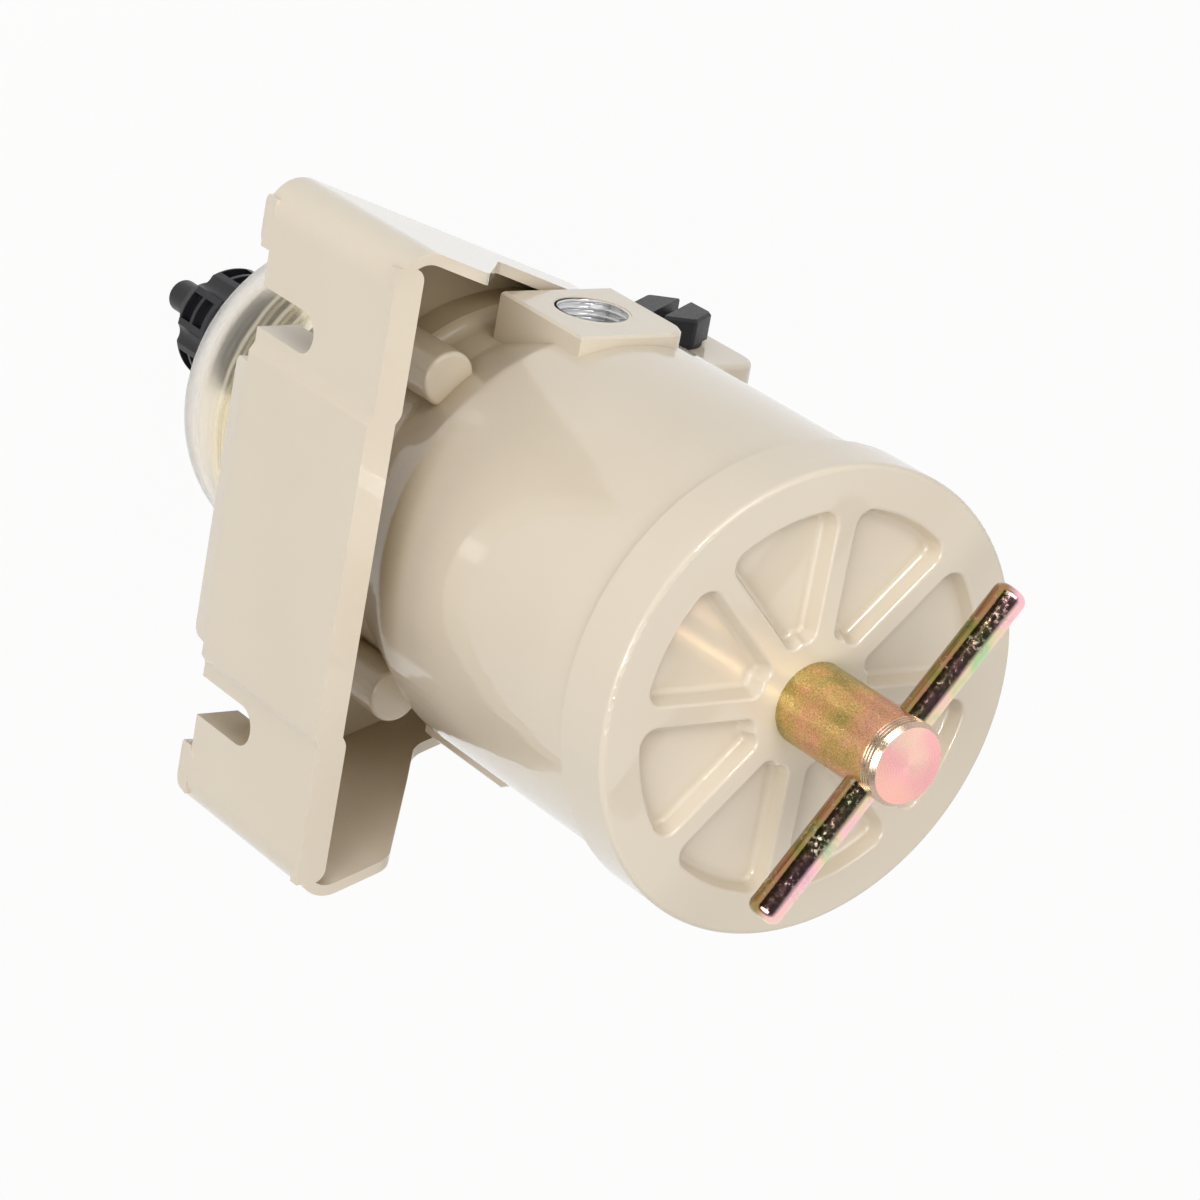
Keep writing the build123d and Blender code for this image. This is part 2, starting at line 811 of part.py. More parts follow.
def arm_outline(inset):
    """Plan of all that lies inside the arm and the face, drawn inwards and forwards by the inset."""
    front = arm_end - inset
    back = ear_face - inset
    outline = make_face(Polyline(
        (0, back), (arm_x(back, inset), back), (arm_x(front, inset), front), (0, front), close=True,
    ))
    corner = outline.vertices().group_by(Axis.Y)[-1].sort_by(Axis.X)[-1]
    return fillet(corner, bracket_corner_r - inset)


def arm_side_view():
    """The arm seen from the side: full height at the face, then a slope down to a narrow bar."""
    tip = (arm_end, arm_low_top)
    knee = [(arm_shoulder_y, bracket_top), (arm_knee_y, arm_knee_z), (arm_low_y, arm_low_top)]
    view = make_face(Polyline(
        (wall_to_axis, bracket_top), *knee, tip, (arm_end, foot_bottom), (wall_to_axis, foot_bottom),
        close=True,
    ))
    for points, radius in ((knee, arm_bend_r), ([tip], arm_tip_r)):
        bends = [v for v in view.vertices() if min(math.dist((v.X, v.Y), p) for p in points) < match]
        view = fillet(bends, radius)
    return view


def arm():
    height = bracket_top - foot_bottom
    wall = extrude(arm_outline(0.0), height) - extrude(arm_outline(bracket_sheet), height)
    wall = Pos(0, 0, foot_bottom) * wall
    wall -= block((0, ear_lip_start), (ear_face - 2 * bracket_sheet, ear_face), (foot_bottom, bracket_top))
    side = extrude(Plane.YZ * arm_side_view(), 2 * bracket_corner_x)
    return wall & side


def face_band(depth, half_length, low, high):
    """A plate with the joggled line of the face on its wall side."""
    near = joggle_half_width
    far = joggle_half_width + joggle_run
    line = [(-half_length, ear_face), (-far, ear_face), (-near, wall_to_axis)]
    line += [(-x, y) for x, y in reversed(line)]
    back = [(x, y - depth) for x, y in reversed(line)]
    return Pos(0, 0, low) * extrude(make_face(Polyline(*line, *back, close=True)), high - low)


def lip(start, end, face_y):
    """A short lip along the lower edge, bent slightly inwards."""
    plate = block((start, end), (-bracket_sheet, 0), (-lip_length, 0))
    corners = plate.edges().filter_by(Axis.Y).group_by(Axis.Z)[0]
    plate = fillet(corners, lip_corner_r)
    return Pos(0, face_y, bracket_bottom) * Rot(-lip_tilt, 0, 0) * plate


def slot_cut(grow):
    """The open slot, from its rounded end out through the lower edge."""
    radius = slot_width / 2 + grow
    end = Pos(slot_centre, slot_bolt_z) * Circle(radius)
    height = slot_bolt_z - bracket_bottom
    way = Pos(slot_centre, bracket_bottom + height / 2) * Rectangle(2 * radius, height)
    return end + way


def slot_rim():
    wall = slot_cut(slot_rim_wall) - slot_cut(0.0)
    return Pos(0, ear_face, 0) * extrude(Plane.XZ * wall, slot_rim_depth)


def foot_plate(grow):
    """The foot that the rear ring screw clamps, from the arm in to the gasket's edge."""
    front = foot_front - grow
    back = foot_back + grow
    plan = make_face(Polyline(
        (0, front), (arm_x(front, -grow), front), (arm_x(back, -grow), back), (bowl_gasket_r / 2, back),
        (0, bowl_gasket_r), close=True,
    ))
    plan -= Circle(bowl_flange_r + foot_clearance - grow)
    return Pos(0, 0, foot_bottom - grow) * extrude(plan, bracket_sheet + 2 * grow)


def bracket():
    """A pressed face with a raised middle, edge flanges and two arms that end in clamped feet."""
    shape = face_band(bracket_sheet, face_half_length, bracket_bottom, bracket_top)
    flange = face_band(top_flange_depth, top_flange_half_length, bracket_top - bracket_sheet, bracket_top)
    ends = flange.edges().filter_by(Axis.Z).group_by(Axis.Y)[0]
    shape += fillet(ends, top_flange_end_r)
    shape += lip(-centre_lip_half_length, centre_lip_half_length, wall_to_axis)
    side = arm() + slot_rim() + foot_plate(0.0) + lip(ear_lip_start, ear_lip_end, ear_face)
    x, y = screw_spots[0]
    side -= rod(screw_r + free_gap, foot_bottom, body_bottom, x, y)
    shape += both_sides(side)
    slot = Pos(0, wall_to_axis, 0) * extrude(Plane.XZ * slot_cut(0.0), joggle + bracket_sheet)
    return shape - both_sides(slot)


pieces = {
    "lid": lid,
    "lid_gasket": lid_gasket,
    "handle_screw": handle_screw,
    "handle_bar": handle_bar,
    "handle_seal": handle_seal,
    "housing": housing,
    "standpipe": standpipe,
    "standpipe_nut": standpipe_nut,
    "element_top_cap": element_top_cap,
    "element_bottom_cap": element_bottom_cap,
    "element_media": element_media,
    "element_core": element_core,
    "element_top_seal": element_top_seal,
    "element_bottom_seal": element_bottom_seal,
    "ball_seat": ball_seat,
    "check_ball": check_ball,
    "turbine": turbine,
    "water_baffle": water_baffle,
    "bowl_gasket": bowl_gasket,
    "bowl": bowl,
    "bowl_ring": bowl_ring,
    "ring_screws": ring_screws,
    "ring_washers": ring_washers,
    "port_plug": port_plug,
    "plug_seal": plug_seal,
    "drain_gasket": drain_gasket,
    "drain_body": drain_body,
    "drain_seal": drain_seal,
    "drain_knob": drain_knob,
    "bracket": bracket,
}

os.makedirs("parts", exist_ok=True)
for name, make in pieces.items():
    export_step(place(make()), f"parts/{name}.step")
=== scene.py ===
import bmesh
import bpy
import math
from mathutils import Matrix, Vector


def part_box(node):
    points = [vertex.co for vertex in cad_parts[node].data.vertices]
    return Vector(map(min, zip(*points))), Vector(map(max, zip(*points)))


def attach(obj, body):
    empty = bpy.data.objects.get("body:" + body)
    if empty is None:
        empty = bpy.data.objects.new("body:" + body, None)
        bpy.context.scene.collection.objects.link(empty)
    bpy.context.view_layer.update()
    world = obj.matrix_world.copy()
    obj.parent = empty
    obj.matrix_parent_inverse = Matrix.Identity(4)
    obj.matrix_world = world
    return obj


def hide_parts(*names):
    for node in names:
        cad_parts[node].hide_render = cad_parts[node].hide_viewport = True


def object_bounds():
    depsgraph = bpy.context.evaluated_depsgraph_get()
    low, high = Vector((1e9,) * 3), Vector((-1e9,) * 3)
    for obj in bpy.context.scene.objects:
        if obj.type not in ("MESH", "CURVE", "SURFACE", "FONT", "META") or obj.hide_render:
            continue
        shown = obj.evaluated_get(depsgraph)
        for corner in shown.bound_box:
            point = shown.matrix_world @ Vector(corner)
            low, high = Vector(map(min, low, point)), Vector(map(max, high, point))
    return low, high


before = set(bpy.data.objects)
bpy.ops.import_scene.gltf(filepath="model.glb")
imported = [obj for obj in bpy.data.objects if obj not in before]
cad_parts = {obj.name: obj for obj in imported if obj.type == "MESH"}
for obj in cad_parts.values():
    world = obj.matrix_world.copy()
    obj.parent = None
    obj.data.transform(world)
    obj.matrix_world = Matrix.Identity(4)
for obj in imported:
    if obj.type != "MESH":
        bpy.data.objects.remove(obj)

cad_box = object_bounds()

# Body casting
# The body is die cast in aluminium and then sprayed all over in a thick beige enamel,
# which rounds every arris and leaves a faint orange peel. Its ports are machined later.


def add(tree, kind, inputs=(), **options):
    """Adds one shader node. An input is given a value, or the socket that feeds it."""
    made = tree.nodes.new("ShaderNode" + kind)
    for option, value in options.items():
        setattr(made, option, value)
    for socket, value in dict(inputs).items():
        if isinstance(value, bpy.types.NodeSocket):
            tree.links.new(value, made.inputs[socket])
        else:
            made.inputs[socket].default_value = value
    return made


def new_finish(name, shader_values):
    """Starts a finish: its material, node tree, shader, and the place on the piece in metres."""
    material = bpy.data.materials.new(name)
    material.use_nodes = True
    tree = material.node_tree
    shader = tree.nodes["Principled BSDF"]
    for socket, value in shader_values.items():
        shader.inputs[socket].default_value = value
    return material, tree, shader, add(tree, "TexCoord").outputs["Object"]


def mottle(tree, place, size, detail=2.0, stretch=(1.0, 1.0, 1.0)):
    """Soft random mottling whose patches are about size metres wide."""
    laid = add(tree, "Mapping", {"Vector": place, "Scale": stretch}).outputs[0]
    noise = add(tree, "TexNoise", {"Vector": laid, "Scale": 1 / size, "Detail": detail})
    return noise.outputs["Fac"]


def levels(tree, value, low, high, from_low=0.3, from_high=0.7):
    """Carries a value from one range to another."""
    spans = {"From Min": from_low, "From Max": from_high, "To Min": low, "To Max": high}
    return add(tree, "MapRange", {"Value": value, **spans}).outputs["Result"]


def tints(tree, value, stops):
    """Turns a value into a colour by (place, colour) stops."""
    ramp = add(tree, "ValToRGB", {"Fac": value})
    for index, (spot, colour) in enumerate(stops):
        stop = ramp.color_ramp.elements[index] if index < 2 else ramp.color_ramp.elements.new(spot)
        stop.position = spot
        stop.color = (*colour, 1.0)
    return ramp.outputs["Color"]


def mixed(tree, share, first, second):
    """Mixes two colours, each a socket or a plain (r, g, b), by a share from 0 to 1."""
    first, second = (c if isinstance(c, bpy.types.NodeSocket) else (*c, 1.0) for c in (first, second))
    return add(tree, "Mix", {0: share, 6: first, 7: second}, data_type="RGBA").outputs[2]


def feed(tree, value, shader, socket):
    """Links a value to the shader."""
    tree.links.new(value, shader.inputs[socket])


def relief(tree, shader, layers):
    """Raises the surface by each (height, metres, strength) layer in turn."""
    normal = None
    for height, metres, strength in layers:
        inputs = {"Height": height, "Distance": metres, "Strength": strength}
        if normal:
            inputs["Normal"] = normal
        normal = add(tree, "Bump", inputs).outputs["Normal"]
    feed(tree, normal, shader, "Normal")


def beige_enamel():
    """Glossy in the open. Its colour is darkened in corners and turned brown where parts shelter it, which is
    painted shade, and its coat gloss is weakened there too.
    """
    tone = (0.730, 0.645, 0.520)
    shade = (0.705, 0.615, 0.490)
    painted_corner_shade_tone = (0.60, 0.515, 0.40)
    painted_shelter_shade_tone = (0.44, 0.34, 0.19)
    corner_reach = 0.004
    shelter_reach = 0.035
    material, tree, shader, place = new_finish(
        "beige_enamel", {"Specular IOR Level": 0.2, "Coat Roughness": 0.045, "Coat IOR": 1.5}
    )
    drift = mottle(tree, place, 0.05)
    colour = tints(tree, drift, [(0.30, shade), (0.62, tone)])
    # Ambient occlusion in the corners darkens the colour: painted shade.
    corner = add(tree, "AmbientOcclusion", {"Distance": corner_reach}, samples=8).outputs["AO"]
    painted_corner_shade = levels(tree, corner, 0.22, 0.0, 0.25, 0.80)
    # A wider occlusion browns the colour in the gap by the bracket and other sheltered places, which is
    # painted shade, and it weakens the coat gloss there.
    shelter = add(tree, "AmbientOcclusion", {"Distance": shelter_reach}, samples=8).outputs["AO"]
    painted_shelter_shade = levels(tree, shelter, 0.80, 0.0, 0.12, 0.60)
    colour = mixed(tree, painted_corner_shade, colour, painted_corner_shade_tone)
    feed(tree, mixed(tree, painted_shelter_shade, colour, painted_shelter_shade_tone), shader, "Base Color")
    feed(tree, levels(tree, shelter, 0.25, 1.0, 0.20, 0.70), shader, "Coat Weight")
    feed(tree, levels(tree, mottle(tree, place, 0.012, 4.0), 0.30, 0.42, 0.1, 0.9), shader, "Roughness")
    peel = mottle(tree, place, 0.0022, 1.0)
    cast = mottle(tree, place, 0.009, 2.0)
    relief(tree, shader, [(cast, 0.00012, 0.08), (peel, 0.00005, 0.10)])
    return material


def rounded_copy(node, body, finish, edge_round):
    """A piece drawn from a CAD node, with its sharp arrises rounded as casting and paint leave them."""
    weld = 2e-6
    slab = 0.004
    flat_within = math.radians(0.1)
    arris_over = math.radians(38)
    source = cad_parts[node].data
    mesh = bpy.data.meshes.new(node + "_finished")
    mesh.from_pydata([v.co for v in source.vertices], [], [tuple(p.vertices) for p in source.polygons])
    work = bmesh.new()
    work.from_mesh(mesh)
    bmesh.ops.remove_doubles(work, verts=work.verts, dist=weld)
    bmesh.ops.dissolve_limit(work, angle_limit=flat_within, verts=work.verts, edges=work.edges)
    # Cuts a slab apart keep the faces compact, so that light runs evenly over them.
    low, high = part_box(node)
    for axis in range(3):
        across = Vector([1.0 if n == axis else 0.0 for n in range(3)])
        level = low[axis] + slab
        while level < high[axis]:
            whole = [*work.verts, *work.edges, *work.faces]
            bmesh.ops.bisect_plane(work, geom=whole, dist=weld, plane_co=across * level, plane_no=across)
            level += slab
    work.to_mesh(mesh)
    work.free()
    mesh.shade_smooth()
    mesh.materials.append(finish)
    piece = bpy.data.objects.new(node + "_finished", mesh)
    bpy.context.scene.collection.objects.link(piece)
    bevel = piece.modifiers.new("rounded_arrises", "BEVEL")
    bevel.width = edge_round
    bevel.segments = 3
    bevel.limit_method = "ANGLE"
    bevel.angle_limit = arris_over
    bevel.miter_outer = "MITER_ARC"
    smoothing = piece.modifiers.new("even_faces", "WEIGHTED_NORMAL")
    smoothing.mode = "FACE_AREA_WITH_ANGLE"
    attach(piece, body)
    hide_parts(node)


def dress(node, finish):
    """Gives a CAD node its finish."""
    for place_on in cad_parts[node].material_slots:
        place_on.link = "OBJECT"
        place_on.material = finish


enamel = beige_enamel()
rounded_copy("housing", "body", enamel, 0.0007)

# Standpipe and nut
# The standpipe is a drawn aluminium tube pressed into the web of the body. A turned brass
# nut in its top takes the thread of the handle screw.


def turned_metal(name, light, dark, roughness, turn_marks):
    """Metal cut on a lathe, with fine marks about the upright axis."""
    drawn_round = (0.06, 0.06, 1.0)
    material, tree, shader, place = new_finish(name, {"Metallic": 1.0, "Specular IOR Level": 0.5})
    marks = mottle(tree, place, turn_marks, 3.0, drawn_round)
    cloud = mottle(tree, place, 0.008, 3.0)
    feed(tree, mixed(tree, levels(tree, cloud, 0.0, 1.0), dark, light), shader, "Base Color")
    feed(tree, levels(tree, marks, roughness * 0.75, roughness * 1.3), shader, "Roughness")
    relief(tree, shader, [(marks, 0.00004, 0.35)])
    return material


tube = turned_metal("drawn_aluminium", (0.80, 0.80, 0.81), (0.66, 0.66, 0.68), 0.32, 0.0004)
brass = turned_metal("turned_brass", (0.83, 0.66, 0.34), (0.66, 0.49, 0.22), 0.25, 0.0003)
dress("standpipe", tube)
dress("standpipe_nut", brass)

# Filter element
# A replaceable cartridge: resin-treated paper folded into pleats round a moulded cage,
# bonded between two end caps that carry the seals.


def pleated_paper():
    """Straw-coloured paper whose fibres run up the pleats."""
    brown = (0.56, 0.45, 0.26)
    straw = (0.74, 0.64, 0.42)
    upright = (1.0, 1.0, 0.35)
    material, tree, shader, place = new_finish(
        "pleated_paper", {"Roughness": 0.85, "Specular IOR Level": 0.2}
    )
    fibre = mottle(tree, place, 0.0012, 6.0, upright)
    feed(tree, tints(tree, fibre, [(0.35, brown), (0.65, straw)]), shader, "Base Color")
    relief(tree, shader, [(fibre, 0.0002, 0.4)])
    return material


def moulded_plastic(name, colour, light, roughness, gloss=0.5):
    """Injection-moulded plastic with a fine spark-eroded grain and faint flow marks."""
    material, tree, shader, place = new_finish(name, {"Specular IOR Level": gloss})
    flow = mottle(tree, place, 0.015, 3.0)
    grain = mottle(tree, place, 0.0005, 4.0)
    feed(tree, tints(tree, flow, [(0.35, colour), (0.75, light)]), shader, "Base Color")
    feed(tree, levels(tree, grain, roughness * 0.8, roughness * 1.25), shader, "Roughness")
    relief(tree, shader, [(grain, 0.00006, 0.25)])
    return material


def moulded_rubber():
    """Black rubber with a grey bloom."""
    black = (0.018, 0.018, 0.019)
    grey = (0.05, 0.05, 0.052)
    material, tree, shader, place = new_finish("moulded_rubber", {"Specular IOR Level": 0.35})
    bloom = mottle(tree, place, 0.004, 4.0)
    feed(tree, tints(tree, bloom, [(0.4, black), (0.8, grey)]), shader, "Base Color")
    feed(tree, levels(tree, bloom, 0.5, 0.7), shader, "Roughness")
    relief(tree, shader, [(mottle(tree, place, 0.0008), 0.0001, 0.2)])
    return material


paper = pleated_paper()
cap_plastic = moulded_plastic("end_cap_plastic", (0.10, 0.14, 0.12), (0.16, 0.20, 0.18), 0.45)
rubber = moulded_rubber()
dress("element_media", paper)
for moulding in ("element_top_cap", "element_bottom_cap", "element_core"):
    dress(moulding, cap_plastic)
for seal in ("element_top_seal", "element_bottom_seal"):
    dress(seal, rubber)

# Check valve
# Fuel comes in past a loose steel ball on a brass seat, pressed into a boss of the body.
# The seat is turned from bar, and the ball is ground and polished.

ball_steel = turned_metal("polished_ball", (0.82, 0.82, 0.84), (0.74, 0.74, 0.77), 0.10, 0.0006)
dress("ball_seat", brass)
dress("check_ball", ball_steel)

# Turbine and baffle
# One moulding with twisted vanes spins the fuel so that water is thrown to the bowl's
# wall. A shallow cone under it keeps the settled water still.

body_axis_y = -0.0673


def maths(tree, operation, *values):
    """One sum on values or sockets."""
    return add(tree, "Math", dict(enumerate(values)), operation=operation).outputs[0]


def from_axis(tree, place):
    """How far a place lies from the body's upright axis."""
    spot = add(tree, "SeparateXYZ", {0: place}).outputs
    flat = add(tree, "CombineXYZ", {"X": spot["X"], "Y": maths(tree, "ADD", spot["Y"], -body_axis_y)})
    return add(tree, "VectorMath", {0: flat.outputs[0]}, operation="LENGTH").outputs["Value"]


def bands(tree, value, spacing, waver):
    """A wave that comes back every spacing metres of a value, and wanders by waver radians."""
    return maths(tree, "SINE", maths(tree, "MULTIPLY_ADD", value, 2 * math.pi / spacing, waver))


def baffle_painted_light_rings():
    """The tan moulding, glossy and metallic, coloured in rings from olive black to pale yellow: painted shade
    in the dark rings and painted highlight streaks in the pale ones.
    """
    ring = 0.0052
    wander = 9.0
    black = (0.055, 0.042, 0.016)
    brown = (0.20, 0.15, 0.07)
    amber = (0.50, 0.38, 0.17)
    yellow = (1.0, 0.86, 0.46)
    material, tree, shader, place = new_finish("tan_nylon_painted_light_rings", {"Metallic": 0.8})
    smear = mottle(tree, place, 0.009, 3.0)
    wave = bands(tree, from_axis(tree, place), ring, levels(tree, smear, 0.0, wander, 0.0, 1.0))
    share = levels(tree, wave, 0.0, 1.0, -1.0, 1.0)
    # The olive black stop is painted shade and the pale yellow stop is painted highlight.
    stops = [(0.15, black), (0.55, brown), (0.78, amber), (0.93, yellow)]
    feed(tree, tints(tree, share, stops), shader, "Base Color")
    feed(tree, levels(tree, smear, 0.25, 0.45), shader, "Roughness")
    relief(tree, shader, [(wave, 0.0002, 0.35)])
    return material


tan_nylon = moulded_plastic("tan_nylon", (0.36, 0.27, 0.15), (0.50, 0.39, 0.23), 0.40)
dress("turbine", tan_nylon)
dress("water_baffle", baffle_painted_light_rings())

# Bowl
# The see-through bowl is moulded in a clear plastic with a straw tint, sealed by a flat
# gasket, and clamped by a painted ring with four screws and washers.


def clear_bowl():
    """Clear round the wall, ringed in amber lower down with pale streaks that are painted highlight, and
    clouded at its foot, where water stands.
    """
    foot_top = -0.067
    foot = -0.074
    stain_top = -0.053
    stain_full = stain_top - 0.004
    ring = 0.0056
    wander = 4.5
    amber = (0.86, 0.78, 0.58)
    painted_highlight_tone = (1.0, 0.90, 0.66)
    material, tree, shader, place = new_finish(
        "clear_straw_plastic", {"IOR": 1.49, "Specular IOR Level": 0.5}
    )
    haze = mottle(tree, place, 0.02, 2.0)
    height = add(tree, "SeparateXYZ", {0: place}).outputs["Z"]
    level = maths(tree, "ADD", height, levels(tree, haze, -0.002, 0.002))
    cloudy = levels(tree, level, 0.0, 1.0, foot_top, foot)
    wave = bands(tree, height, ring, levels(tree, mottle(tree, place, 0.018, 2.0), 0.0, wander, 0.0, 1.0))
    stained = levels(tree, height, 0.0, 1.0, stain_top, stain_full)
    # Pale, less see-through streaks in the amber rings: painted highlight.
    painted_highlight_streak = maths(tree, "MULTIPLY", levels(tree, wave, 0.0, 0.7, 0.20, 1.0), stained)
    clear = tints(tree, haze, [(0.35, (0.97, 0.93, 0.84)), (0.65, (0.99, 0.96, 0.89))])
    clear = mixed(tree, stained, clear, amber)
    clear = mixed(tree, painted_highlight_streak, clear, painted_highlight_tone)
    milk = tints(tree, haze, [(0.35, (1.0, 0.93, 0.83)), (0.65, (1.0, 0.96, 0.89))])
    feed(tree, mixed(tree, cloudy, clear, milk), shader, "Base Color")
    chalky = maths(tree, "MULTIPLY", maths(tree, "SUBTRACT", cloudy, 1.0), painted_highlight_streak)
    feed(tree, levels(tree, chalky, 0.30, 0.98, -1.0, 0.0), shader, "Transmission Weight")
    feed(tree, levels(tree, cloudy, 0.03, 0.20, 0.0, 1.0), shader, "Roughness")
    relief(tree, shader, [(mottle(tree, place, 0.010), 0.0002, 0.05)])
    return material


def bright_zinc():
    """Zinc plate with a fine crystal spangle."""
    dull = (0.60, 0.61, 0.63)
    bright = (0.82, 0.83, 0.84)
    material, tree, shader, place = new_finish("bright_zinc", {"Metallic": 1.0})
    spangle = mottle(tree, place, 0.0015, 4.0)
    feed(tree, tints(tree, spangle, [(0.3, dull), (0.7, bright)]), shader, "Base Color")
    feed(tree, levels(tree, spangle, 0.22, 0.38), shader, "Roughness")
    relief(tree, shader, [(spangle, 0.00005, 0.3)])
    return material


dress("bowl", clear_bowl())
dress("bowl_gasket", rubber)
rounded_copy("bowl_ring", "body", enamel, 0.0006)
zinc = bright_zinc()
dress("ring_screws", zinc)
dress("ring_washers", zinc)

# Drain
# A black moulded valve: the body is held in the bowl's spout, and turning the lobed knob
# lets the water out through its plain hose end.

black_plastic = moulded_plastic("black_nylon", (0.010, 0.010, 0.012), (0.020, 0.020, 0.024), 0.34, 0.3)
dress("drain_body", black_plastic)
dress("drain_gasket", rubber)
dress("drain_seal", rubber)
rounded_copy("drain_knob", "drain_knob", black_plastic, 0.0005)

# Spare port plug
# The unused port is closed by a black moulded plug with a screwdriver slot, on a washer.
# Its plastic is greyer than the drain's.

plug_plastic = moulded_plastic("grey_black_nylon", (0.022, 0.022, 0.025), (0.032, 0.032, 0.037), 0.38, 0.2)
rounded_copy("port_plug", "body", plug_plastic, 0.0004)
dress("plug_seal", rubber)

# Lid
# The ribbed lid is cast and enamelled like the body. A ring seals it to the body, and a
# smaller ring seals the handle screw in its middle.

rounded_copy("lid", "lid", enamel, 0.0006)
dress("lid_gasket", rubber)
dress("handle_seal", rubber)

# Handle
# The closing screw is turned from steel bar, cross-drilled for a sliding bar, and zinc
# plated with a yellow passivate whose film shifts from gold and green to pink.

hub_foot = 0.108
hub_length = 0.0323
hub_tip = hub_foot + hub_length


def lathe(name, profile):
    """Turns a (radius, height) profile, closed at the axis, about the body's axis."""
    steps = 128
    crease = math.radians(22)
    axis = Vector((0.0, body_axis_y, 0.0))
    mesh = bpy.data.meshes.new(name)
    work = bmesh.new()
    rings = []
    for radius, height in profile:
        turns = [2 * math.pi * s / steps for s in range(steps)] if radius > 0 else [0.0]
        spots = [Vector((radius * math.cos(turn), radius * math.sin(turn), height)) for turn in turns]
        rings.append([work.verts.new(axis + spot) for spot in spots])
    for low, high in zip(rings, rings[1:]):
        for s in range(steps):
            after = (s + 1) % steps
            corners = [low[s % len(low)], low[after % len(low)], high[after % len(high)], high[s % len(high)]]
            work.faces.new(list(dict.fromkeys(corners)))
    bmesh.ops.recalc_face_normals(work, faces=work.faces)
    work.to_mesh(mesh)
    work.free()
    mesh.shade_smooth()
    mesh.set_sharp_from_angle(angle=crease)
    piece = bpy.data.objects.new(name, mesh)
    bpy.context.scene.collection.objects.link(piece)
    return piece


def turned_hub_film():
    """Flecked gold and olive along the hub, worn silver over the grooves, and pink on the faced end."""
    gold = (0.66, 0.46, 0.17)
    olive = (0.46, 0.39, 0.13)
    orange = (0.80, 0.44, 0.26)
    rose = (0.78, 0.40, 0.30)
    pink = (1.0, 0.50, 0.50)
    salmon = (0.98, 0.64, 0.52)
    coral = (1.0, 0.54, 0.45)
    silver = (0.50, 0.42, 0.34)
    light_fleck = (1.0, 0.86, 0.60)
    dark_fleck = (0.22, 0.17, 0.06)
    fleck_size = 0.00035
    worn_from = hub_tip - 0.0039
    worn_full = hub_tip - 0.0033
    end_from = hub_tip - 0.0001
    end_full = hub_tip - 0.00004
    facing_marks = 16000.0
    material, tree, shader, place = new_finish("yellow_passivate_turned", {"Metallic": 1.0})
    height = add(tree, "SeparateXYZ", {0: place}).outputs["Z"]
    film = mottle(tree, place, 0.009, 3.0)
    grain = mottle(tree, place, 0.0004, 4.0)
    along = levels(tree, height, -0.16, 0.22, hub_foot, hub_tip)
    drift = maths(tree, "ADD", film, along)
    side = tints(tree, drift, [(0.30, olive), (0.44, gold), (0.58, orange), (0.72, rose), (0.90, gold)])
    fleck = mottle(tree, place, fleck_size, 5.0)
    side = mixed(tree, levels(tree, fleck, 0.0, 0.5, 0.54, 0.66), side, light_fleck)
    side = mixed(tree, levels(tree, fleck, 0.55, 0.0, 0.34, 0.46), side, dark_fleck)
    worn = levels(tree, height, 0.0, 0.75, worn_from, worn_full)
    side = mixed(tree, worn, side, silver)
    sheen = mottle(tree, place, 0.016, 1.0)
    end = tints(tree, sheen, [(0.34, salmon), (0.50, pink), (0.66, coral)])
    on_end = levels(tree, height, 0.0, 1.0, end_from, end_full)
    feed(tree, mixed(tree, on_end, side, end), shader, "Base Color")
    rough = levels(tree, grain, 0.26, 0.42)
    smooth = levels(tree, grain, 0.20, 0.30)
    pick = add(tree, "Mix", {0: worn, 2: rough, 3: smooth}, data_type="FLOAT")
    feed(tree, pick.outputs[0], shader, "Roughness")
    wave = maths(tree, "SINE", maths(tree, "MULTIPLY", from_axis(tree, place), facing_marks))
    facing = maths(tree, "MULTIPLY", wave, on_end)
    relief(tree, shader, [(grain, 0.00005, 0.45), (facing, 0.000025, 0.6)])
    return material


def drawn_bar_film():
    """Darker on the side of the bar that mirrors the shaded lid, which is painted shade, and scuffed where
    hands have worn it.
    """
    middle = (0.0, body_axis_y, 0.1335)
    brighter_side = (-0.413, -0.563, 0.717)
    bar_r = 0.00375
    brighter_side_stops = [
        (0.34, (0.48, 0.66, 0.34)), (0.46, (0.86, 0.66, 0.44)),
        (0.56, (0.98, 0.58, 0.58)), (0.70, (0.94, 0.52, 0.62)),
    ]
    painted_shade_stops = [
        (0.34, (0.16, 0.20, 0.05)), (0.48, (0.34, 0.25, 0.09)),
        (0.60, (0.40, 0.20, 0.12)), (0.72, (0.34, 0.24, 0.08)),
    ]
    scuffed = (0.56, 0.58, 0.46)
    scuffed_roughness = 0.50
    material, tree, shader, place = new_finish("yellow_passivate_drawn", {"Metallic": 1.0})
    film = mottle(tree, place, 0.010, 2.0)
    grain = mottle(tree, place, 0.0009, 6.0)
    offset = add(tree, "VectorMath", {0: place, 1: middle}, operation="SUBTRACT").outputs[0]
    across = add(tree, "VectorMath", {0: offset, 1: brighter_side}, operation="DOT_PRODUCT").outputs["Value"]
    # The bar is tinted dark on its lower side, which mirrors the shaded lid: painted shade.
    thin = levels(tree, across, 0.0, 1.0, -0.4 * bar_r, 0.3 * bar_r)
    colour = mixed(tree, thin, tints(tree, film, painted_shade_stops), tints(tree, film, brighter_side_stops))
    rubbed = maths(tree, "ADD", grain, mottle(tree, place, 0.008, 2.0))
    scuff = levels(tree, rubbed, 0.0, 0.7, 1.08, 1.28)
    feed(tree, mixed(tree, scuff, colour, scuffed), shader, "Base Color")
    polish = levels(tree, grain, 0.07, 0.20)
    worn = add(tree, "Mix", {0: scuff, 2: polish, 3: scuffed_roughness}, data_type="FLOAT")
    feed(tree, worn.outputs[0], shader, "Roughness")
    relief(tree, shader, [(grain, 0.00006, 0.30)])
    return material


